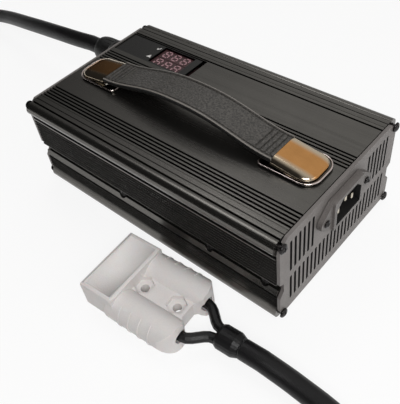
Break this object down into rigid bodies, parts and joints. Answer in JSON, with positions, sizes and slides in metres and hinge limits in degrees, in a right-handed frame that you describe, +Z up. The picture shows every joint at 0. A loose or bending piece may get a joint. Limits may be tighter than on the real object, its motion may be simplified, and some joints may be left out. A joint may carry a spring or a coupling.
{
  "type": "battery charger",
  "caption": "Fan-cooled battery charger in a ribbed extruded case with a carrying strap, a digit display, a mains inlet socket and a lead with a flat two-pole battery connector.",
  "frame": {"origin": "on the surface that the case stands on, under the middle of the case's box without the lead", "axes": "+X along the case from the fan and lead end to the mains inlet end, +Z up, +Y from the front side (beside which the connector lies) to the back side"},
  "size_m": [0.6134, 0.2863, 0.0838],
  "materials": {
    "anodised_case": "satin",
    "end_plate": "satin",
    "screws": "satin",
    "handle_cap": "polished",
    "strap": "matte",
    "overlay": "gloss",
    "digits": "matte",
    "circuit_board": "matte",
    "black_plastic": "satin",
    "pins": "polished",
    "fan_plastic": "satin",
    "plain_aluminium": "satin",
    "ferrite": "matte",
    "winding": "satin",
    "capacitor": "satin",
    "connector_plastic": "satin",
    "contacts": "polished",
    "cable": "satin"
  },
  "bodies": {
    "charger": {"bottom_shell": "anodised_case", "bulk_capacitor_1": "capacitor", "bulk_capacitor_2": "capacitor", "connector_housing": "connector_plastic", "contact_negative": "contacts", "contact_positive": "contacts", "core_negative": "cable", "core_positive": "cable", "dc_cord": "cable", "display_board": "circuit_board", "display_digits_lower": "digits", "display_digits_upper": "digits", "display_overlay": "overlay", "end_screw_fan_back_bottom": "screws", "end_screw_fan_back_top": "screws", "end_screw_fan_front_bottom": "screws", "end_screw_fan_front_top": "screws", "end_screw_inlet_back_bottom": "screws", "end_screw_inlet_back_top": "screws", "end_screw_inlet_front_bottom": "screws", "end_screw_inlet_front_top": "screws", "fan_end_plate": "end_plate", "fan_frame": "fan_plastic", "fan_screw_1": "screws", "fan_screw_2": "screws", "fan_screw_3": "screws", "fan_screw_4": "screws", "gland_body": "black_plastic", "gland_dome_nut": "black_plastic", "handle_base_left": "handle_cap", "handle_base_right": "handle_cap", "handle_cap_left": "handle_cap", "handle_cap_right": "handle_cap", "handle_screw_left": "screws", "handle_screw_right": "screws", "handle_strap": "strap", "heatsink_back": "plain_aluminium", "heatsink_front": "plain_aluminium", "inlet_end_plate": "end_plate", "inlet_housing": "black_plastic", "inlet_pin_earth": "pins", "inlet_pin_line": "pins", "inlet_pin_neutral": "pins", "inlet_screw_back": "screws", "inlet_screw_front": "screws", "lead_split_boot": "cable", "main_board": "circuit_board", "output_capacitor_1": "capacitor", "output_capacitor_2": "capacitor", "pfc_choke": "winding", "side_screw_back_1": "screws", "side_screw_back_2": "screws", "side_screw_back_3": "screws", "side_screw_front_1": "screws", "side_screw_front_2": "screws", "side_screw_front_3": "screws", "top_shell": "anodised_case", "transformer": "ferrite"},
    "fan": {"fan_rotor": "fan_plastic"}
  },
  "joints": [
    {"name": "fan_spin", "type": "hinge", "parent": "charger", "child": "fan", "pos_m": [-0.0953, -0.022, 0.0345], "axis": [1, 0, 0], "continuous": true}
  ]
}
